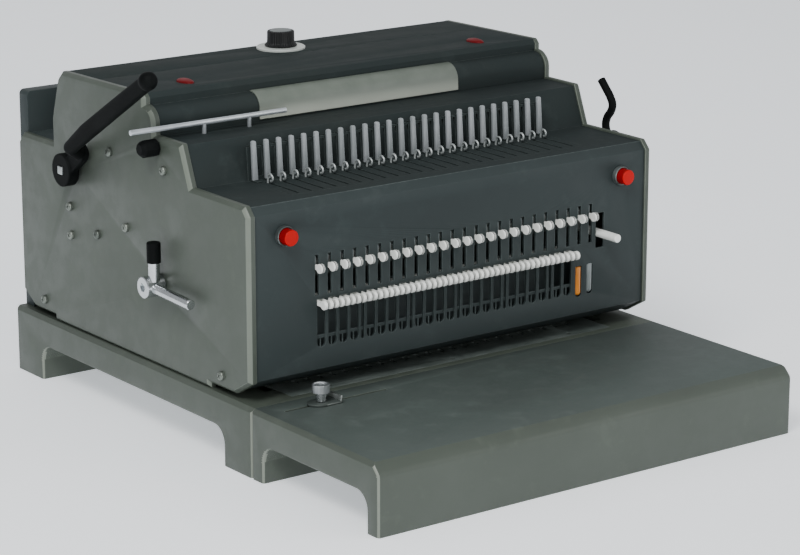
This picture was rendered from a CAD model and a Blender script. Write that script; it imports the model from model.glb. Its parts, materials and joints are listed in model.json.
"""Comb and coil binding machine, dressed piece by piece in the order it is put together."""
import json
import math

import bmesh
import bpy
from mathutils import Matrix, Vector

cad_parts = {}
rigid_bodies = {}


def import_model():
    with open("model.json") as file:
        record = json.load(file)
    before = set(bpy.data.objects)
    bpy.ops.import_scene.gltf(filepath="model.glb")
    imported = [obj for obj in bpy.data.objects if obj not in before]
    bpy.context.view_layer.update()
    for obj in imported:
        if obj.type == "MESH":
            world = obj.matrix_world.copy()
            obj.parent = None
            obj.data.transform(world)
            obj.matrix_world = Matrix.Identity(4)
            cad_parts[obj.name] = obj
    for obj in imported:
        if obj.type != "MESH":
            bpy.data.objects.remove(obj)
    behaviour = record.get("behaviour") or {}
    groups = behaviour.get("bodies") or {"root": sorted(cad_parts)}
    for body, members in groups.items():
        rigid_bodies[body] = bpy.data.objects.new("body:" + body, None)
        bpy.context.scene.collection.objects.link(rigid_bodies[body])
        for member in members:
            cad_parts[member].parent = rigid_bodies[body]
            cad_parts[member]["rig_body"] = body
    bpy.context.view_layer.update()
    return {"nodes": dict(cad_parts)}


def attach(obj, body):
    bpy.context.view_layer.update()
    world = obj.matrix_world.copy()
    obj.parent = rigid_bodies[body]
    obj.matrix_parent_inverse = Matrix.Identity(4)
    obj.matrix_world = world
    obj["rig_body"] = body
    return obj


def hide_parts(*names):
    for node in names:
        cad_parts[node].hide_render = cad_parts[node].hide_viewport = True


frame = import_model()
nodes = frame["nodes"]

# ---------------------------------------------------------------- base casting
# The main base is one aluminium casting with a foot across the front and the back.
# It is shot-blasted and powder-coated grey-green; the long edges are chamfered, and the
# coat is rubbed a little paler along them.


class Socket:
    """A value in a material, with Python's operators as Math nodes."""

    def __init__(self, tree, link):
        self.tree = tree
        self.link = link

    def math(self, operation, other, flip=False):
        step = self.tree.nodes.new("ShaderNodeMath")
        step.operation = operation
        for place, value in zip((1, 0) if flip else (0, 1), (self, other)):
            if isinstance(value, Socket):
                self.tree.links.new(value.link, step.inputs[place])
            elif value is not None:
                step.inputs[place].default_value = value
        return Socket(self.tree, step.outputs[0])

    def __add__(self, other):
        return self.math("ADD", other)

    def __radd__(self, other):
        return self.math("ADD", other, flip=True)

    def __sub__(self, other):
        return self.math("SUBTRACT", other)

    def __rsub__(self, other):
        return self.math("SUBTRACT", other, flip=True)

    def __mul__(self, other):
        return self.math("MULTIPLY", other)

    def __rmul__(self, other):
        return self.math("MULTIPLY", other, flip=True)


class Finish:
    """One material: its Principled shader and a way to add any node to it."""

    def __init__(self, name, **constants):
        self.material = bpy.data.materials.new(name)
        self.material.use_nodes = True
        self.tree = self.material.node_tree
        self.shader = self.tree.nodes["Principled BSDF"]
        for socket, value in constants.items():
            self.shader.inputs[socket.replace("_", " ")].default_value = value
        self.place = self.node("ShaderNodeTexCoord", out="Object")

    def node(self, kind, out=0, settings=None, **inputs):
        made = self.tree.nodes.new(kind)
        for key, value in (settings or {}).items():
            setattr(made, key, value)
        for key, value in inputs.items():
            numbered = key[0] == "i" and key[1:].isdigit()
            socket = made.inputs[int(key[1:]) if numbered else key.replace("_", " ")]
            if isinstance(value, Socket):
                self.tree.links.new(value.link, socket)
            else:
                socket.default_value = value
        return Socket(self.tree, made.outputs[out])

    def noise(self, scale, detail=3.0, rough=0.5, place=None):
        settled = {"Vector": place or self.place, "Scale": scale, "Detail": detail, "Roughness": rough}
        return self.node("ShaderNodeTexNoise", "Fac", **settled)

    def ramp(self, value, low, high):
        """0 below low, 1 above high."""
        smooth = {"interpolation_type": "SMOOTHSTEP"}
        return self.node("ShaderNodeMapRange", settings=smooth, Value=value, From_Min=low, From_Max=high)

    def mix(self, amount, one, two):
        made = self.tree.nodes.new("ShaderNodeMix")
        made.data_type = "RGBA"
        for place, value in ((0, amount), (6, one), (7, two)):
            if isinstance(value, Socket):
                self.tree.links.new(value.link, made.inputs[place])
            else:
                made.inputs[place].default_value = value
        return Socket(self.tree, made.outputs[2])

    def worn_edge(self, radius):
        """1 on outer edges, from how far a rounded normal leans off the face's own."""
        rounded = self.node("ShaderNodeBevel", settings={"samples": 6}, Radius=radius)
        flat = self.node("ShaderNodeNewGeometry", "Normal")
        dot = {"operation": "DOT_PRODUCT"}
        agreement = self.node("ShaderNodeVectorMath", "Value", dot, i0=rounded, i1=flat)
        return self.ramp(1.0 - agreement, 0.02, 0.22)

    def bump(self, height, distance, strength=1.0):
        return self.node("ShaderNodeBump", Height=height, Distance=distance, Strength=strength)

    def set(self, **sockets):
        for key, value in sockets.items():
            self.tree.links.new(value.link, self.shader.inputs[key.replace("_", " ")])
        return self.material


def colour(text):
    """A hex colour as linear RGBA."""
    parts = [int(text[i:i + 2], 16) / 255 for i in (0, 2, 4)]
    return [p / 12.92 if p <= 0.04045 else ((p + 0.055) / 1.055) ** 2.4 for p in parts] + [1.0]


def powder_coat(name, shade, pale, dark, grain=1500.0, depth=0.00004, rough=(0.42, 0.56), gloss=0.42):
    """Powder coat: orange-peel grain, cloudy shade, rubbed edges and a few faint marks."""
    coat = Finish(name, Specular_IOR_Level=gloss)
    cloud = coat.noise(7.0, 4.0, 0.6)
    peel = coat.noise(grain, 2.0, 0.5)
    smear = coat.noise(42.0, 5.0, 0.65)
    base = coat.mix(coat.ramp(cloud, 0.3, 0.7), colour(dark), colour(shade))
    base = coat.mix(coat.ramp(smear, 0.52, 0.72) * 0.1, base, colour(pale))
    edge = coat.worn_edge(0.0016)
    broken = coat.ramp(coat.noise(160.0, 4.0, 0.6), 0.36, 0.62)
    base = coat.mix(edge * (0.25 + broken * 0.55), base, colour(pale))
    shine = rough[0] + coat.ramp(smear, 0.35, 0.7) * (rough[1] - rough[0]) + (peel - 0.5) * 0.06
    return coat.set(Base_Color=base, Roughness=shine, Normal=coat.bump(peel, depth, 0.6))


def paint(node, material):
    node.data.materials.clear()
    node.data.materials.append(material)


def round_corners(piece, width):
    """Rounds the outline of both side faces by width, up to the chamfer along the top."""
    bpy.ops.mesh.select_all(action="DESELECT")
    shape = bmesh.from_edit_mesh(piece.data)
    side = max(abs(corner.co.x) for corner in shape.verts)
    for edge in shape.edges:
        heights = [corner.co.z for corner in edge.verts]
        on_side = all(abs(abs(corner.co.x) - side) < 0.00001 for corner in edge.verts)
        across = any(abs(face.normal.x) < 0.5 for face in edge.link_faces)
        edge.select = on_side and across and max(heights) > 0.0001
    bmesh.update_edit_mesh(piece.data)
    bpy.ops.mesh.bevel(offset=width, segments=4, affect="EDGES")


def softened(name, width=0.0008, segments=2, angle=28.0, reshape=None, corners=0.0):
    """A copy of a CAD solid, welded, its sharp edges rounded by width; reshape moves its points."""
    piece = nodes[name].copy()
    piece.data = nodes[name].data.copy()
    piece.name = name + "_finished"
    piece.parent = None
    for key in list(piece.keys()):
        if key.startswith("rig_"):
            del piece[key]
    bpy.context.scene.collection.objects.link(piece)
    bpy.ops.object.select_all(action="DESELECT")
    bpy.context.view_layer.objects.active = piece
    piece.select_set(True)
    bpy.ops.object.mode_set(mode="EDIT")
    bpy.ops.mesh.select_all(action="SELECT")
    bpy.ops.mesh.remove_doubles(threshold=0.000002)
    bpy.ops.mesh.dissolve_limited(angle_limit=math.radians(0.5))
    if corners:
        round_corners(piece, corners)
    bpy.ops.object.mode_set(mode="OBJECT")
    if reshape:
        for vertex in piece.data.vertices:
            vertex.co = reshape(vertex.co)
    round_off = piece.modifiers.new("round_off", "BEVEL")
    round_off.width = width
    round_off.segments = segments
    round_off.limit_method = "ANGLE"
    round_off.angle_limit = math.radians(angle)
    round_off.use_clamp_overlap = True
    bpy.ops.object.modifier_apply(modifier="round_off")
    bpy.ops.object.shade_smooth_by_angle(angle=math.radians(35))
    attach(piece, nodes[name].get("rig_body"))
    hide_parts(name)
    return piece


def rub_corners(piece, coat):
    """Paints the rounded corners that face the front with the paler, rubbed coat."""
    piece.data.materials.append(coat)
    for face in piece.data.polygons:
        lean = face.normal
        if abs(lean.x) > 0.25 and lean.y < -0.2 and abs(lean.z) < 0.6:
            face.material_index = 1


casting_coat = powder_coat("casting_powder_coat", "474e46", "767f73", "424941")
rubbed_coat = powder_coat("rubbed_casting_coat", "7e8479", "8e9489", "767c71", rough=(0.36, 0.46))
base = softened("machine_base", 0.0012, corners=0.0032)
paint(base, casting_coat)
rub_corners(base, rubbed_coat)

# ---------------------------------------------------------------- sheet table
# The table hooks on in front of the base. Its top is coated in a darker, smoother green-grey
# so that paper slides on it, and the sides are as the base.

table_coat = powder_coat("table_powder_coat", "49534f", "7a857f", "464f4b", 1900.0, 0.00003, (0.56, 0.66))
table = softened("front_table", 0.0012, corners=0.0032)
paint(table, casting_coat)
rub_corners(table, rubbed_coat)
table.data.materials.append(table_coat)
for face in table.data.polygons:
    if face.normal.z > 0.95 and face.center.z > 0.066:
        face.material_index = 2

# ---------------------------------------------------------------- throat plate
# A ground steel plate lies flush in the base, with a row of die holes and three
# countersunk screws. The grinding lines run across the machine.


def ground_metal(name, dull, bright, along, rough=(0.3, 0.5), depth=0.00002, metallic=1.0):
    """Ground or drawn metal: fine lines along one axis, and a cloudy handling film."""
    metal = Finish(name, Metallic=metallic)
    stretch = [1100.0, 1100.0, 1100.0]
    stretch[along] = 14.0
    drawn_out = metal.node("ShaderNodeMapping", Vector=metal.place, Scale=stretch)
    lines = metal.noise(1.0, 4.0, 0.65, drawn_out)
    film = metal.noise(34.0, 4.0, 0.6)
    base = metal.mix(metal.ramp(film, 0.35, 0.7), colour(dull), colour(bright))
    shine = rough[0] + lines * (rough[1] - rough[0]) + (film - 0.5) * 0.1
    return metal.set(Base_Color=base, Roughness=shine, Normal=metal.bump(lines, depth, 0.5))


die_steel = ground_metal("ground_die_steel", "565f5b", "6c7571", 0, (0.4, 0.58), 0.00002, 0.3)
die = softened("die_plate", 0.0003)
paint(die, die_steel)

# ---------------------------------------------------------------- side stop
# A small plated plate with an upturned lip slides along the slot in the table.
# The sheets' left edge rests against the lip.

plate_steel = ground_metal("zinc_plate", "a3a8a4", "c6cac6", 1, (0.28, 0.46), 0.00001)
stop = softened("side_stop", 0.0004)
paint(stop, ground_metal("blued_plate", "3c4340", "4c5450", 1, (0.45, 0.6), 0.00001, 0.3))
stop.data.materials.append(plate_steel)
lip_foot = max(vertex.co.z for vertex in stop.data.vertices) - 0.0045
for face in stop.data.polygons:
    if face.center.z > lip_foot:
        face.material_index = 1

# ---------------------------------------------------------------- thumbscrew of the stop
# Turned bright steel with a knurled head, a cupped top and a hexagon nut below in the slot.

UP = (0.0, 0.0, 1.0)
RIGHT = (1.0, 0.0, 0.0)
FORWARD = (0.0, -1.0, 0.0)


def turned(name, profile, place, axis, steps=48):
    """Turns a profile of (radius, height) points round axis through place, as on a lathe."""
    place = Vector(place)
    axis = Vector(axis)
    across = axis.orthogonal().normalized()
    track = [place + across * radius + axis * height for radius, height in profile]
    bpy.ops.object.select_all(action="DESELECT")
    bpy.ops.mesh.primitive_plane_add(size=0.001, location=(0.0, 0.0, 0.0))
    piece = bpy.context.active_object
    piece.name = name
    bpy.ops.object.mode_set(mode="EDIT")
    bpy.ops.mesh.merge(type="CENTER")
    bpy.ops.transform.translate(value=track[0])
    for one, two in zip(track, track[1:]):
        bpy.ops.mesh.extrude_region_move(TRANSFORM_OT_translate={"value": two - one})
    bpy.ops.mesh.select_all(action="SELECT")
    bpy.ops.mesh.spin(steps=steps, angle=math.tau, center=place, axis=axis)
    bpy.ops.mesh.select_all(action="SELECT")
    bpy.ops.mesh.remove_doubles(threshold=0.000001)
    bpy.ops.mesh.normals_make_consistent(inside=False)
    bpy.ops.object.mode_set(mode="OBJECT")
    bpy.ops.object.shade_smooth_by_angle(angle=math.radians(32.0))
    return piece


def one_piece(name, parts):
    """Joins parts into one mesh under the first part's name."""
    bpy.ops.object.select_all(action="DESELECT")
    for part in parts:
        part.select_set(True)
    bpy.context.view_layer.objects.active = parts[0]
    if len(parts) > 1:
        bpy.ops.object.join()
    parts[0].name = name
    return parts[0]


def fit(piece, body, slot, *solids):
    """Puts a finished piece in the assembly in place of its CAD solids."""
    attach(piece, body)
    if solids:
        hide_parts(*solids)


def round_edges(piece, width, segments=2, angle=30.0):
    """Rounds a piece's sharp edges and applies the bevel."""
    bpy.ops.object.select_all(action="DESELECT")
    bpy.context.view_layer.objects.active = piece
    piece.select_set(True)
    edge = piece.modifiers.new("edge", "BEVEL")
    edge.width = width
    edge.segments = segments
    edge.limit_method = "ANGLE"
    edge.angle_limit = math.radians(angle)
    bpy.ops.object.modifier_apply(modifier="edge")
    bpy.ops.object.shade_smooth_by_angle(angle=math.radians(35))
    return piece


def bright_metal(name, ribs=0.0, centre=(0.0, 0.0, 0.0)):
    """Polished steel with fine wipe marks; ribs cuts that many knurls round the local Z axis."""
    metal = Finish(name, Metallic=1.0)
    wipe = metal.noise(420.0, 4.0, 0.6)
    haze = metal.noise(60.0, 3.0, 0.6)
    base = metal.mix(haze, colour("b4b8ba"), colour("d6d9da"))
    height = wipe * 0.06
    if ribs:
        inverse = {"vector_type": "TEXTURE"}
        local = metal.node("ShaderNodeMapping", settings=inverse, Vector=metal.place, Location=centre)
        parts = metal.tree.nodes.new("ShaderNodeSeparateXYZ")
        metal.tree.links.new(local.link, parts.inputs[0])
        around = Socket(metal.tree, parts.outputs[1]).math("ARCTAN2", Socket(metal.tree, parts.outputs[0]))
        wave = (around * ribs).math("SINE", None)
        height = height + wave
        base = metal.mix(metal.ramp(wave, -1.0, 0.2), colour("9aa0a2"), base)
    shine = (0.3 if ribs else 0.16) + haze * 0.16
    relief = metal.bump(height, 0.0001 if ribs else 0.00008, 0.5)
    return metal.set(Base_Color=base, Roughness=shine, Normal=relief)


screw_x, screw_y = -0.184, -0.0475
stem = turned("thumbscrew_stem", [
    (0.0, 0.0536), (0.0012, 0.0536), (0.0012, 0.0698), (0.0046, 0.0698), (0.0049, 0.0702),
    (0.0049, 0.0784), (0.0, 0.0784)], (screw_x, screw_y, 0.0), UP)
knurled_head = turned("thumbscrew_head", [
    (0.0, 0.0782), (0.0081, 0.0782), (0.0084, 0.0785), (0.0084, 0.0856), (0.0081, 0.0859),
    (0.0073, 0.0859), (0.007, 0.0857), (0.0067, 0.0849), (0.0, 0.0847)],
    (screw_x, screw_y, 0.0), UP, 64)
nut_place = (screw_x, screw_y, 0.0573)
bpy.ops.mesh.primitive_cylinder_add(vertices=6, radius=0.004, depth=0.0036, location=nut_place)
nut = bpy.context.active_object
bpy.ops.object.transform_apply(location=True, rotation=True, scale=True)
round_edges(nut, 0.0004)
polished = bright_metal("polished_steel")
KNURLS = 40.0
knurled = bright_metal("knurled_steel", KNURLS, (screw_x, screw_y, 0.0))
paint(stem, polished)
paint(knurled_head, knurled)
paint(nut, polished)
thumbscrew = one_piece("thumbscrew_turned", [stem, knurled_head, nut])
fit(thumbscrew, "thumbscrew", "bright_steel", "stop_thumbscrew")

# ---------------------------------------------------------------- side plates
# Two 8 mm plates carry the whole punch body. Their outline is milled with a broad chamfer
# all round and they are coated like the base.

PLATE_FACE = 0.241
RIM_RISE = 0.0026
RIM_BACK = 0.312
RIM_LENGTH = 0.149


def rim_rise(y):
    """The top edge's rise at depth y: none at the back corner, all of it at the front one."""
    return RIM_RISE * (RIM_BACK - min(y, RIM_BACK)) / RIM_LENGTH


def crowned(point):
    """Raises the plates' top edge towards its front corner."""
    x, y, z = point
    on_rim = z > 0.3205 and 0.155 < y < 0.3135
    if on_rim:
        z += rim_rise(y)
    return x, y, z


chamfer_coat = powder_coat("milled_chamfer_coat", "6d746a", "8f968b", "666d63")
for side in ("left_side_plate", "right_side_plate"):
    plate = softened(side, 0.0005, 2, 28.0, crowned)
    paint(plate, casting_coat)
    rub_corners(plate, chamfer_coat)

# ---------------------------------------------------------------- machine screws
# Zinc-plated pan heads with a cross recess hold the shafts' bearings, the covers and the
# throat plate. One is turned and recessed, then copied, each turned a little differently.


def cut(piece, cutter):
    """Takes the cutter's volume out of the piece and throws the cutter away."""
    bpy.ops.object.select_all(action="DESELECT")
    bpy.context.view_layer.objects.active = piece
    piece.select_set(True)
    away = piece.modifiers.new("away", "BOOLEAN")
    away.operation = "DIFFERENCE"
    away.object = cutter
    away.solver = "EXACT"
    bpy.ops.object.modifier_apply(modifier="away")
    bpy.data.objects.remove(cutter)
    return piece


def block(name, low, high):
    """A box between two corners."""
    low, high = Vector(low), Vector(high)
    bpy.ops.object.select_all(action="DESELECT")
    bpy.ops.mesh.primitive_cube_add(size=1.0, location=(low + high) / 2)
    piece = bpy.context.active_object
    piece.name = name
    piece.scale = high - low
    bpy.ops.object.transform_apply(location=True, rotation=True, scale=True)
    return piece


def copies(piece, name, places):
    """Copies of a piece at the given matrices, all in one mesh; the pattern piece is dropped."""
    made = []
    for place in places:
        twin = piece.copy()
        twin.data = piece.data.copy()
        twin.data.transform(place)
        bpy.context.scene.collection.objects.link(twin)
        made.append(twin)
    bpy.data.objects.remove(piece)
    return one_piece(name, made)


pan = turned("pan_head", [
    (0.0, 0.0), (0.0045, 0.0), (0.0045, 0.0018), (0.0043, 0.0027), (0.0037, 0.0034),
    (0.0026, 0.0039), (0.0, 0.0041)], (0.0, 0.0, 0.0), UP, 32)
cut(pan, block("recess_one", (-0.0024, -0.00045, 0.0026), (0.0024, 0.00045, 0.005)))
cut(pan, block("recess_two", (-0.00045, -0.0024, 0.0026), (0.00045, 0.0024, 0.005)))
bolt_steel = ground_metal("bolt_steel", "5f655f", "828880", 0, (0.3, 0.46), 0.00001, 0.8)
paint(pan, bolt_steel)
PLATE_SCREWS = (
    (222, 262), (124, 262), (300, 193), (299, 164), (248, 175), (194, 193), (356, 85), (30, 85))
THROAT_SCREWS = (-0.145, 0.0, 0.145)
places = []
for side in (-1, 1):
    for number, (y, z) in enumerate(PLATE_SCREWS):
        places.append(
            Matrix.Translation((side * PLATE_FACE, y / 1000, z / 1000))
            @ Matrix.Rotation(side * math.pi / 2, 4, "Y")
            @ Matrix.Rotation(number * 0.7 + side, 4, "Z"))
for number, x in enumerate(THROAT_SCREWS):
    places.append(
        Matrix.Translation((x, -0.006, 0.0653))
        @ Matrix.Rotation(number * 0.9, 4, "Z")
        @ Matrix.Diagonal((0.53, 0.53, 0.4, 1.0)))
screws = copies(pan, "cross_recess_screws", places)
fit(screws, "machine_frame", "zinc", "machine_screws")

# ---------------------------------------------------------------- covers
# Front, deck, top and back covers are folded sheet steel in a charcoal coat; the deck and
# the top are a shade darker. The folds are rounded and the edges rubbed.

FINE_GRAIN = 2100.0
FINE_DEPTH = 0.000025
KEY_X = 0.176
KEY_Y = 0.187
LID_FACE = 0.3222
cover_coat = powder_coat(
    "charcoal_coat", "2f3737", "5c6564", "2d3535", FINE_GRAIN, FINE_DEPTH, (0.54, 0.64), 0.25)
dark_coat = powder_coat(
    "dark_charcoal_coat", "2b3130", "535b59", "293030", FINE_GRAIN, FINE_DEPTH, (0.68, 0.78), 0.1)
deck_seams = (
    ((-0.174, 0.0098, 0.2507), (0.174, 0.0103, 0.252)),
    ((-0.1743, 0.0098, 0.2507), (-0.1738, 0.0764, 0.252)),
    ((0.1738, 0.0098, 0.2507), (0.1743, 0.0764, 0.252)))


def lifted(point):
    """The lid lies level with the plates' edge, and its key holes are long from front to back."""
    x, y, z = point
    centre = math.copysign(KEY_X, x)
    on_key_hole = z > LID_FACE and abs(x - centre) < 0.0097 and abs(y - KEY_Y) < 0.0061
    if on_key_hole:
        x = centre + (x - centre) * 0.72
        y = KEY_Y + (y - KEY_Y) * 2.2
    on_lid = z > 0.319 and 0.155 < y < 0.314
    if on_lid:
        z += rim_rise(y) + 0.0016 if z > LID_FACE else RIM_RISE
        if y < 0.166:
            y -= 0.0015
    return x, y, z


for name, coat, slot, reshape, seams in (
    ("front_cover", cover_coat, "cover_paint", None, ()),
    ("comb_deck", dark_coat, "top_paint", None, deck_seams),
    ("top_cover", dark_coat, "top_paint", lifted, ()),
    ("back_cover", cover_coat, "cover_paint", None, ()),
):
    cover = softened(name, 0.0004, 2, 28.0, reshape)
    for low, high in seams:
        cut(cover, block("seam", low, high))
    paint(cover, coat)

# ---------------------------------------------------------------- curved guard
# A pale moulded strip is bent over the front edge of the top cover. Hands rub it paler
# and smoother towards its lower edge.


GUARD_DROP = 0.0093
GUARD_BEND = 0.302


def draped(point):
    """The guard's lower edge reaches straight down to the step."""
    x, y, z = point
    return x, y, z - GUARD_DROP if z < GUARD_BEND else z


def guard_plastic():
    """Green-grey plastic, rubbed paler and smoother towards the lower edge."""
    skin = Finish("guard_plastic", Specular_IOR_Level=0.5)
    parts = skin.tree.nodes.new("ShaderNodeSeparateXYZ")
    skin.tree.links.new(skin.place.link, parts.inputs[0])
    fine = skin.noise(900.0, 2.0, 0.5)
    flow = skin.noise(24.0, 4.0, 0.6)
    height = Socket(skin.tree, parts.outputs[2]) + (flow - 0.5) * 0.004
    rubbed = 1.0 - skin.ramp(height, 0.29, 0.308)
    base = skin.mix(skin.ramp(flow, 0.3, 0.72), colour("5b635a"), colour("6a7168"))
    base = skin.mix(rubbed, base, colour("b9beb2"))
    base = skin.mix(skin.worn_edge(0.0009) * 0.6, base, colour("c9cdc3"))
    shine = 0.46 - rubbed * 0.1 + (fine - 0.5) * 0.08
    return skin.set(Base_Color=base, Roughness=shine, Normal=skin.bump(fine, 0.00003, 0.5))


guard = softened("curved_guard", 0.0004, 2, 28.0, draped)
paint(guard, guard_plastic())

# ---------------------------------------------------------------- comb fingers
# Twenty-five moulded fingers stand in a row on the deck, leaning a little back. Each
# tapers upwards to a round end, and a thin coated plate with a gap for every ring of the
# comb stands close behind them.

PITCH = 0.0142875
TEETH = 24
FINGER_TOP_ZONE = 0.28
FINGER_TAPER = 0.8
first_x = -PITCH * 11.5


def moulded(name, shade, other, grain=1400.0, rough=0.34, depth=0.00003, edge=0.3, gloss=0.5):
    """Moulded plastic: fine spark grain, faint flow marks, paler where it is handled."""
    skin = Finish(name, Specular_IOR_Level=gloss)
    fine = skin.noise(grain, 2.0, 0.5)
    flow = skin.noise(24.0, 4.0, 0.6)
    base = skin.mix(skin.ramp(flow, 0.3, 0.72), colour(shade), colour(other))
    base = skin.mix(skin.worn_edge(0.0009) * edge, base, colour(other))
    shine = rough + (flow - 0.5) * 0.18 + (fine - 0.5) * 0.08
    return skin.set(Base_Color=base, Roughness=shine, Normal=skin.bump(fine, depth, 0.5))


finger = block("finger", (-0.0029, 0.0738, 0.2512), (0.0029, 0.077, 0.2894))
bpy.ops.object.mode_set(mode="EDIT")
bpy.ops.mesh.select_all(action="DESELECT")
shape = bmesh.from_edit_mesh(finger.data)
for corner in shape.verts:
    if corner.co.z > FINGER_TOP_ZONE:
        corner.co.x *= FINGER_TAPER
for edge in shape.edges:
    one, two = edge.verts
    at_top = one.co.z > FINGER_TOP_ZONE and two.co.z > FINGER_TOP_ZONE
    edge.select = at_top and abs(one.co.y - two.co.y) > 0.001
bmesh.update_edit_mesh(finger.data)
bpy.ops.mesh.bevel(offset=0.0015, segments=6, affect="EDGES")
bpy.ops.object.mode_set(mode="OBJECT")
round_edges(finger, 0.0005, 2)
paint(finger, moulded("finger_plastic", "848a8b", "9b9fa2", 900.0, 0.38))
foot = round_edges(block("foot", (-0.0033, 0.067, 0.2512), (0.0033, 0.0778, 0.2526)), 0.0003)
paint(foot, dark_coat)
finger = one_piece("finger", [finger, foot])
beside_slots = [Matrix.Translation((first_x + (i - 0.5) * PITCH, 0.0, 0.0)) for i in range(TEETH + 1)]
at_slots = [Matrix.Translation((first_x + i * PITCH, 0.0, 0.0)) for i in range(TEETH)]
row = copies(finger, "finger_row", beside_slots)
back = block("finger_back", (-0.1774, 0.0781, 0.2512), (0.1756, 0.0791, 0.2836))
gaps = copies(block("gap", (-0.0036, 0.07, 0.2552), (0.0036, 0.085, 0.2815)), "gaps", at_slots)
cut(back, gaps)
paint(back, dark_coat)
row = one_piece("finger_row", [row, back])
DECK_TOP = 0.2512
FINGER_LEAN = 0.0026
FINGER_HEIGHT = 0.038
for corner in row.data.vertices:
    corner.co.y += FINGER_LEAN * (corner.co.z - DECK_TOP) / FINGER_HEIGHT
fit(row, "machine_frame", "finger_plastic", "comb_fingers")

# ---------------------------------------------------------------- comb hooks
# Twenty-four hooks on a rail under the deck pull the comb's rings open. Each is a round
# wire that comes up through its slot and is curled over forwards, nickel plated.


def bent_bar(name, points, radius, steps=10, sides=8, ease=0.0006):
    """A round bar through the points, its bends eased as cold bends are, with closed ends."""
    bend = bpy.data.curves.new(name, "CURVE")
    bend.dimensions = "3D"
    bend.bevel_depth = radius
    bend.bevel_resolution = sides
    bend.resolution_u = steps
    bend.use_fill_caps = True
    line = bend.splines.new("BEZIER")
    line.bezier_points.add(len(points) - 1)
    for knot, point in zip(line.bezier_points, points):
        knot.co = point
        knot.handle_left_type = knot.handle_right_type = "AUTO"
    holder = bpy.data.objects.new(name, bend)
    bpy.context.scene.collection.objects.link(holder)
    bpy.ops.object.select_all(action="DESELECT")
    bpy.context.view_layer.objects.active = holder
    holder.select_set(True)
    bpy.ops.object.convert(target="MESH")
    piece = bpy.context.active_object
    bpy.ops.object.mode_set(mode="EDIT")
    bpy.ops.mesh.select_all(action="SELECT")
    bpy.ops.mesh.remove_doubles(threshold=0.000001)
    bpy.ops.mesh.normals_make_consistent(inside=False)
    bpy.ops.object.mode_set(mode="OBJECT")
    return round_edges(piece, ease, 3, 50.0)


hook_line = (
    (64.4, 243), (64.4, 255.4), (63.2, 258.4), (60.4, 259.7), (57.6, 258.6), (56.6, 256),
    (57.7, 253.7), (60.2, 253.3))
hook_points = [Vector((0.0, y / 1000, z / 1000)) for y, z in hook_line]
hook = bent_bar("hook", hook_points, 0.00095, 4, 3, 0.0002)
hooks = copies(hook, "hook_row", at_slots)
hook_rail = round_edges(block("hook_rail", (-0.175, 0.058, 0.237), (0.175, 0.068, 0.245)), 0.0005)
arms = []
for x in (-0.15, 0.15):
    arms.append(round_edges(block("hook_arm", (x - 0.005, 0.064, 0.237), (x + 0.005, 0.164, 0.242)), 0.0005))
hooks = one_piece("comb_hook_rail", [hooks, hook_rail] + arms)
paint(hooks, ground_metal("hook_nickel", "a3a9a8", "c0c5c4", 2, (0.36, 0.5), 0.00001, 0.5))
fit(hooks, "comb_slide", "zinc", "comb_hooks")

# ---------------------------------------------------------------- opener shaft and lever
# A steel shaft crosses the machine; its squared end carries the opener lever, a single
# black casting with a hub, an offset neck and a round grip.

shaft_steel = ground_metal("drawn_steel", "9ba09f", "bcc1c0", 0, (0.26, 0.44), 0.00001)
shaft = softened("opener_shaft", 0.0004)
paint(shaft, shaft_steel)


def flowing(name, voxel, rounds, reshape=None):
    """A copy of a CAD solid run into one smooth skin, as a casting's fillets run together."""
    piece = softened(name, 0.0002, 1, 28.0, reshape)
    bpy.ops.object.select_all(action="DESELECT")
    bpy.context.view_layer.objects.active = piece
    piece.select_set(True)
    skin = piece.modifiers.new("skin", "REMESH")
    skin.mode = "VOXEL"
    skin.voxel_size = voxel
    bpy.ops.object.modifier_apply(modifier="skin")
    ease = piece.modifiers.new("ease", "SMOOTH")
    ease.factor = 0.5
    ease.iterations = rounds
    bpy.ops.object.modifier_apply(modifier="ease")
    bpy.ops.object.shade_smooth()
    return piece


ELBOW_Y = 0.246
ELBOW_Z = 0.266
GRIP_LENGTH = 0.16


def lengthened(point):
    """The grip reaches 9 mm further, growing from the elbow to the round end."""
    x, y, z = point
    along = ((ELBOW_Y - y) * 0.862 + (z - ELBOW_Z) * 0.507) / GRIP_LENGTH
    if y < ELBOW_Y and along > 0.0:
        y -= 0.0062 * along
        z += 0.0070 * along
    return x, y, z


black_satin = moulded("black_satin", "0a0c0c", "141616", 1200.0, 0.58, 0.00004, 0.5, 0.05)
lever = flowing("left_lever", 0.0008, 5, lengthened)
paint(lever, black_satin)

# ---------------------------------------------------------------- wire lever
# A black-coated steel rod, bent cold into an S, is pinned to a round hub on the right
# plate.

wire_line = (
    (57, 236), (64.5, 244), (67.4, 252.5), (65.2, 260.5), (59.4, 268), (57.6, 275), (61.2, 282),
    (68, 289.6), (75.6, 297.6))
wire_points = [Vector((0.252, y / 1000, z / 1000)) for y, z in wire_line]
wire = bent_bar("wire_lever_rod", wire_points, 0.0041)
hub = turned("wire_lever_hub", [
    (0.0, 0.0), (0.0154, 0.0), (0.016, 0.0006), (0.016, 0.0108), (0.0153, 0.0115), (0.005, 0.0115),
    (0.0045, 0.011), (0.0, 0.011)], (0.2415, 0.053, 0.233), RIGHT)
spigot = turned("wire_lever_spigot", [
    (0.0, 0.0), (0.005, 0.0), (0.005, 0.0096), (0.0, 0.0096)], (0.232, 0.057, 0.233), RIGHT)
wire_lever = one_piece("wire_lever_bent", [wire, hub, spigot])
paint(wire_lever, black_satin)
fit(wire_lever, "wire_lever", "black_metal", "right_lever")

# ---------------------------------------------------------------- guide rod
# A polished rod on two short legs stands on the step, for the comb's spine to lean on.

rod_steel = ground_metal("polished_rod", "c2c8cc", "dadfe2", 0, (0.24, 0.38), 0.000006, 0.6)
rod = softened("guide_rod", 0.0005)
paint(rod, rod_steel)

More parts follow.
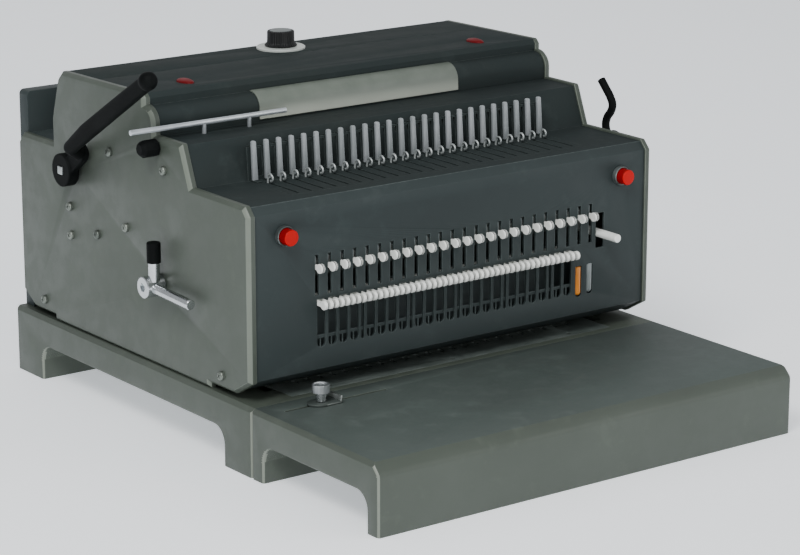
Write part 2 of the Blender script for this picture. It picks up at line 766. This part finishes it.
# ---------------------------------------------------------------- size knob
# A black moulded knob on the left plate sets the comb size. It has eight flats for the
# fingers and tapers at its outer end, and it is pressed on a steel shaft.

flutes = turned("size_knob_turned", [
    (0.0, 0.0), (0.0052, 0.0), (0.0056, 0.0003), (0.008, 0.0036), (0.0085, 0.0044), (0.0085, 0.0179),
    (0.008, 0.0186), (0.0, 0.0186)], (-0.26, 0.137, 0.282), RIGHT, 8)
neck = turned("size_knob_shaft", [
    (0.0, 0.0), (0.004, 0.0), (0.004, 0.018), (0.0, 0.018)], (-0.243, 0.137, 0.282), RIGHT, 24)
size_knob = one_piece("size_knob_moulded", [flutes, neck])
paint(size_knob, black_satin)
fit(size_knob, "size_knob", "black_plastic", "side_knob")

# ---------------------------------------------------------------- crank
# Two plated bars are screwed into a turned hub with a hexagon socket; the upright one
# has a black sleeve.

crank_end = (-0.262, 0.133, 0.15)
bar_direction = (0.0, 0.99917, 0.0408)
crank_hub = turned("crank_hub", [
    (0.0, 0.0), (0.0095, 0.0), (0.0103, 0.0005), (0.0105, 0.0012), (0.0105, 0.0196),
    (0.0098, 0.0206), (0.0, 0.0206)], crank_end, RIGHT, 48)
bpy.ops.mesh.primitive_cylinder_add(
    vertices=6, radius=0.0045, depth=0.008, location=crank_end, rotation=(0.0, math.pi / 2, 0.0))
cut(crank_hub, bpy.context.active_object)
level_bar = turned("crank_bar", [
    (0.0, 0.0), (0.0042, 0.0), (0.005, 0.0008), (0.005, 0.062), (0.0, 0.062)],
    (-0.253, 0.063, 0.1472), bar_direction, 32)
upright = turned("crank_stem", [
    (0.0, 0.0), (0.0055, 0.0), (0.0055, 0.0258), (0.0, 0.0258)], (-0.252, 0.128, 0.156), UP, 32)
spindle = turned("crank_spindle", [
    (0.0, 0.0), (0.005, 0.0), (0.005, 0.028), (0.0, 0.028)], (-0.243, 0.133, 0.15), RIGHT, 32)
crank = one_piece("crank_turned", [crank_hub, level_bar, upright, spindle])
paint(crank, polished)
fit(crank, "crank", "bright_steel", "crank_handle")
sleeve = turned("crank_sleeve", [
    (0.00555, 0.0), (0.0064, 0.0), (0.00675, 0.0004), (0.00675, 0.0188), (0.0061, 0.0197), (0.0, 0.02),
    (0.0, 0.012), (0.00555, 0.012), (0.00555, 0.0)], (-0.252, 0.128, 0.174), UP, 40)
paint(sleeve, black_satin)
fit(sleeve, "crank", "black_plastic", "crank_grip")

# ---------------------------------------------------------------- dial
# A moulded knob with fine flutes and a pale metal cap turns over a light scale ring with
# engraved marks.

DIAL_Y = 0.283
FLUTES = 36.0
dial_foot = (0.0, DIAL_Y, 0.3268)
knob = turned("dial_body", [
    (0.0, 0.0029), (0.0158, 0.0029), (0.0165, 0.0035), (0.0165, 0.0043), (0.0147, 0.0062),
    (0.0141, 0.0072), (0.0139, 0.0174), (0.0134, 0.0184), (0.0118, 0.0189), (0.0114, 0.0186),
    (0.0, 0.0186)], dial_foot, UP, 72)
fluted = Finish("fluted_black", Specular_IOR_Level=0.25)
inverse = {"vector_type": "TEXTURE"}
local = fluted.node("ShaderNodeMapping", settings=inverse, Vector=fluted.place, Location=(0.0, DIAL_Y, 0.0))
parts = fluted.tree.nodes.new("ShaderNodeSeparateXYZ")
fluted.tree.links.new(local.link, parts.inputs[0])
around = Socket(fluted.tree, parts.outputs[1]).math("ARCTAN2", Socket(fluted.tree, parts.outputs[0]))
wave = (around * FLUTES).math("SINE", None)
dust = fluted.noise(300.0, 3.0, 0.6)
black = fluted.mix(fluted.ramp(wave, -1.0, 1.0) * 0.6 + dust * 0.3, colour("080909"), colour("17191a"))
fluted.set(Base_Color=black, Roughness=0.3 + dust * 0.2, Normal=fluted.bump(wave, 0.00025, 0.8))
paint(knob, fluted.material)
cap = turned("dial_cap", [
    (0.0, 0.0184), (0.0108, 0.0184), (0.0112, 0.0187), (0.0108, 0.019), (0.0, 0.0191)],
    dial_foot, UP, 48)
paint(cap, ground_metal("spun_cap", "7d8382", "989e9c", 0, (0.3, 0.45), 0.00001))
under = turned("dial_spindle", [
    (0.0, -0.01), (0.004, -0.01), (0.004, 0.003), (0.0, 0.003)], dial_foot, UP, 24)
paint(under, polished)
dial = one_piece("dial_moulded", [knob, cap, under])
fit(dial, "dial", "black_plastic", "dial_knob")
ring = turned("scale_ring_disc", [
    (0.00405, 0.0), (0.0248, 0.0), (0.025, 0.0003), (0.025, 0.0019), (0.0241, 0.0026),
    (0.00405, 0.0026), (0.00405, 0.0)], dial_foot, UP, 72)
for degrees in range(-150, 151, 25):
    turn = math.radians(degrees)
    groove = block("mark", (-0.00025, 0.0192, 0.0022), (0.00025, 0.0226, 0.004))
    groove.data.transform(Matrix.Translation(dial_foot) @ Matrix.Rotation(turn, 4, "Z"))
    cut(ring, groove)
paint(ring, moulded("ring_plastic", "b9beb9", "cdd1cc", 900.0, 0.36))
fit(ring, "machine_frame", "white_plastic", "dial_ring")

# ---------------------------------------------------------------- push buttons
# Two oval keys in the top and two round keys in the front, all moulded in red. The round
# ones stand well out of low turned collars.

red_skin = moulded("red_plastic", "b20003", "ba0406", 700.0, 0.42, 0.00002, 0.2, 0.12)
deep_red = moulded("deep_red_plastic", "7c0206", "86050a", 700.0, 0.42, 0.00002, 0.2, 0.12)
dark_red = moulded("dark_red_plastic", "63040a", "6e080e", 700.0, 0.46, 0.00002, 0.2, 0.15)
FRONT_FACE = -0.0142
ROUND_KEY_X = 0.201
ROUND_KEY_Z = 0.222
for side, x in (("left", -KEY_X), ("right", KEY_X)):
    key = turned("oval_key_" + side, [
        (0.0, -0.006), (0.009, -0.006), (0.009, 0.0008), (0.0086, 0.0016), (0.0074, 0.0025),
        (0.0054, 0.0034), (0.003, 0.0041), (0.0, 0.0044)], (0.0, 0.0, 0.0), UP, 48)
    key.data.transform(Matrix.Translation((x, KEY_Y, 0.3285)) @ Matrix.Diagonal((0.722, 1.333, 0.8, 1.0)))
    paint(key, dark_red)
    fit(key, "oval_" + side, "red_plastic", "oval_button_" + side)
for side, x in (("left", -ROUND_KEY_X), ("right", ROUND_KEY_X)):
    key = turned("round_key_" + side, [
        (0.0, -0.006), (0.0077, -0.006), (0.0077, 0.0124), (0.0075, 0.0132), (0.007, 0.0137),
        (0.004, 0.014), (0.0, 0.0141)], (x, FRONT_FACE, ROUND_KEY_Z), FORWARD, 48)
    paint(key, red_skin)
    key.data.materials.append(deep_red)
    for face in key.data.polygons:
        if abs(face.normal.y) < 0.5:
            face.material_index = 1
    fit(key, "button_" + side, "red_plastic", "punch_button_" + side)
collars = []
for x in (-ROUND_KEY_X, ROUND_KEY_X):
    collars.append(turned("collar", [
        (0.008, 0.0), (0.0094, 0.0), (0.0094, 0.0042), (0.0092, 0.0048), (0.0088, 0.0051),
        (0.0083, 0.0049), (0.008, 0.0045), (0.008, 0.0)], (x, FRONT_FACE, ROUND_KEY_Z), FORWARD, 48))
collar_pair = one_piece("button_collars", collars)
paint(collar_pair, ground_metal("collar_nickel", "59605f", "7e8584", 0, (0.3, 0.42), 0.00001, 0.7))
fit(collar_pair, "machine_frame", "zinc", "button_bezels")

# ---------------------------------------------------------------- selector lever
# A white moulded rod comes level out of its slot and turns on a round pivot behind the
# cover; its end is eased by a small radius.

white_skin = moulded("white_plastic", "eef0ea", "f8faf5", 900.0, 0.3)
lever_x, lever_z = 0.1765, 0.1666
rod_part = turned("selector_rod", [
    (0.0, 0.0), (0.0034, 0.0), (0.004, 0.0004), (0.0042, 0.0011), (0.0042, 0.066), (0.0, 0.066)],
    (lever_x, -0.042, lever_z), (0.0, 1.0, 0.0), 40)
pivot = turned("selector_pivot", [
    (0.0, 0.0), (0.0056, 0.0), (0.006, 0.0004), (0.006, 0.0116), (0.0056, 0.012), (0.0, 0.012)],
    (lever_x - 0.006, 0.024, lever_z), RIGHT, 32)
selector = one_piece("selector_moulded", [rod_part, pivot])
paint(selector, white_skin)
fit(selector, "selector", "white_plastic", "selector_lever")

# ---------------------------------------------------------------- pull pins
# Each comb punch can be pulled out of work by its own white pin: a flat bar through the
# slot, with a round grooved end for the fingers and a steel fin that guides it in the slot.

end_place = (0.0, FRONT_FACE - 0.006, 0.186)
bar = round_edges(block("pin_bar", (-0.0012, FRONT_FACE - 0.005, 0.1835), (0.0012, 0.023, 0.1885)), 0.0003)
end = turned("pin_end", [
    (0.0, -0.0021), (0.0041, -0.0021), (0.0045, -0.0017), (0.0045, -0.0003), (0.0037, -0.0001),
    (0.0037, 0.0004), (0.0045, 0.0006), (0.0045, 0.0012), (0.0037, 0.0014), (0.0037, 0.0018),
    (0.0043, 0.002), (0.0043, 0.0023), (0.004, 0.0025), (0.0, 0.0025)], end_place, RIGHT, 32)
fin = block("pin_fin", (-0.0012, FRONT_FACE + 0.0012, 0.1875), (-0.0002, FRONT_FACE + 0.0064, 0.1965))
round_edges(fin, 0.0002, 1)
groove_grey = moulded("groove_grey", "232828", "2e3434", 900.0, 0.6, 0.00002, 0.1, 0.1)
paint(end, white_skin)
end.data.materials.append(groove_grey)
for face in end.data.polygons:
    out = (face.center - Vector((face.center.x, *end_place[1:]))).length
    if 0.0036 < out < 0.0042 and -0.001 < face.center.x < 0.0021:
        face.material_index = 1
paint(bar, white_skin)
paint(fin, ground_metal("fin_steel", "596060", "727979", 2, (0.4, 0.55), 0.00001, 0.3))
pattern = one_piece("pull_pin_pattern", [bar, end, fin])
for number in range(1, TEETH + 1):
    pin = pattern.copy()
    pin.data = pattern.data.copy()
    pin.name = "moulded_pin_%02d" % number
    pin.data.transform(Matrix.Translation((first_x + (number - 1) * PITCH, 0.0, 0.0)))
    bpy.context.scene.collection.objects.link(pin)
    fit(pin, "pin_%02d" % number, "white_plastic", "pull_pin_%02d" % number)
bpy.data.objects.remove(pattern)

# ---------------------------------------------------------------- coil tabs
# The coil row has forty-nine round-ended tabs at the coil pitch, so close that they read
# as one ribbed strip. They share a rail behind the cover. Moulded in the same white plastic.

COIL_PITCH = 0.0062865
COIL_TABS = 49
tab = turned("tab_end", [
    (0.0, -0.0021), (0.0039, -0.0021), (0.0044, -0.0016), (0.0044, 0.0009), (0.0035, 0.0013),
    (0.0035, 0.0021), (0.0, 0.0021)], (0.0, FRONT_FACE - 0.01, 0.1518), RIGHT, 28)
paint(tab, white_skin)
tab.data.materials.append(groove_grey)
for face in tab.data.polygons:
    if face.center.x > 0.001:
        face.material_index = 1
tab_bar = block("tab_bar", (-0.0014, FRONT_FACE - 0.01, 0.1493), (0.0008, FRONT_FACE + 0.011, 0.1543))
round_edges(tab_bar, 0.0003, 1)
paint(tab_bar, white_skin)
tab = one_piece("tab", [tab, tab_bar])
tab_places = [Matrix.Translation((-0.1628 + COIL_PITCH * i, 0.0, 0.0)) for i in range(COIL_TABS)]
tabs = copies(tab, "tab_row", tab_places)
rail = block("tab_rail", (-0.1668, FRONT_FACE + 0.01, 0.1468), (0.1429, FRONT_FACE + 0.016, 0.1568))
round_edges(rail, 0.0005)
paint(rail, white_skin)
tabs = one_piece("coil_tab_row", [tabs, rail])
fit(tabs, "coil_slide", "white_plastic", "coil_pins")

# ---------------------------------------------------------------- marker pins
# Two round-ended pins hang behind the last two slots, the first one orange and the other
# grey.

marker = turned("marker", [
    (0.0, -0.0034), (0.0013, -0.00314), (0.0024, -0.0024), (0.0031, -0.0013), (0.0034, 0.0),
    (0.0034, 0.0256), (0.0029, 0.026), (0.0, 0.026)], (0.0, FRONT_FACE + 0.0022, 0.1098), UP, 24)
grey_marker = marker.copy()
grey_marker.data = marker.data.copy()
bpy.context.scene.collection.objects.link(grey_marker)
marker.data.transform(Matrix.Translation((first_x + 22 * PITCH, 0.0, 0.0004)))
grey_marker.data.transform(Matrix.Translation((first_x + 23 * PITCH, 0.0, 0.0018)))
paint(marker, moulded("orange_plastic", "cf7519", "e08f35", 900.0, 0.3))
paint(grey_marker, moulded("grey_plastic", "6d7474", "878e8e", 900.0, 0.3))
markers = one_piece("marker_pair", [marker, grey_marker])
fit(markers, "machine_frame", "orange_plastic", "marker_pins")

# ---------------------------------------------------------------- geared motor
# The motor lies across the bottom of the machine behind the punches, a cast gear case with
# a round housing. Both are in the maker's grey coat.

motor = softened("gear_motor", 0.0008)
paint(motor, powder_coat("motor_coat", "4c5256", "7d8488", "3e4447"))

# ---------------------------------------------------------------- drive shaft
# A drawn steel shaft with eccentrics runs in the two plates and works the punch bar.

drive_shaft = softened("drive_shaft", 0.0006)
paint(drive_shaft, shaft_steel)

# ---------------------------------------------------------------- punch bar
# The bar carries twenty-four flat punches over the die holes. It is milled from steel and
# ground on the punches' faces.

punches = softened("punch_bar", 0.0004)
paint(punches, die_steel)

# ---------------------------------------------------------------- mains inlet
# A black moulded appliance inlet with three flat pins, snapped into the back cover.

inlet = softened("power_inlet", 0.0005)
paint(inlet, black_satin)

# ---------------------------------------------------------------- floor, light, camera
# A plain pale floor, a broad soft key light from the upper left and a weak fill.

bpy.ops.mesh.primitive_plane_add(size=14.0, location=(0.0, 0.1, 0.0))
floor = bpy.context.active_object
floor.name = "floor"
ground = Finish(
    "pale_floor", Specular_IOR_Level=0.2, Emission_Color=(0.9, 0.95, 1.0, 1.0), Emission_Strength=0.6)
speck = ground.noise(3.0, 3.0, 0.5)
ground.set(Base_Color=ground.mix(speck, colour("eef0f2"), colour("f4f5f6")), Roughness=0.8 + speck * 0.1)
paint(floor, ground.material)

world = bpy.data.worlds.new("studio")
world.use_nodes = True
world.node_tree.nodes["Background"].inputs[0].default_value = (0.84, 0.86, 0.89, 1.0)
world.node_tree.nodes["Background"].inputs[1].default_value = 0.6
bpy.context.scene.world = world


def softbox(name, place, aim, size, power):
    """A square area light at place that points at aim."""
    lamp = bpy.data.lights.new(name, "AREA")
    lamp.energy = power
    lamp.size = size
    holder = bpy.data.objects.new(name, lamp)
    holder.location = place
    holder.rotation_mode = "QUATERNION"
    holder.rotation_quaternion = (Vector(aim) - Vector(place)).to_track_quat("-Z", "Y")
    bpy.context.scene.collection.objects.link(holder)


softbox("key", (-1.6, -1.0, 2.3), (0.0, 0.1, 0.15), 1.0, 50.0)
softbox("fill", (1.9, -2.2, 1.4), (0.0, 0.0, 0.15), 1.8, 20.0)
softbox("low", (-1.5, -2.6, 0.5), (0.0, 0.0, 0.1), 1.0, 16.0)
softbox("rim", (0.6, 2.2, 1.9), (0.0, 0.1, 0.2), 1.5, 6.0)

lens = bpy.data.cameras.new("camera")
lens.lens = 129.825
lens.sensor_width = 36.0
lens.clip_start = 0.05
lens.clip_end = 50.0
camera = bpy.data.objects.new("camera", lens)
camera.location = (-1.62780, -2.11676, 0.87397)
camera.rotation_mode = "QUATERNION"
camera.rotation_quaternion = Vector((0.574579, 0.775092, -0.262853)).to_track_quat("-Z", "Y")
bpy.context.scene.collection.objects.link(camera)
bpy.context.scene.camera = camera
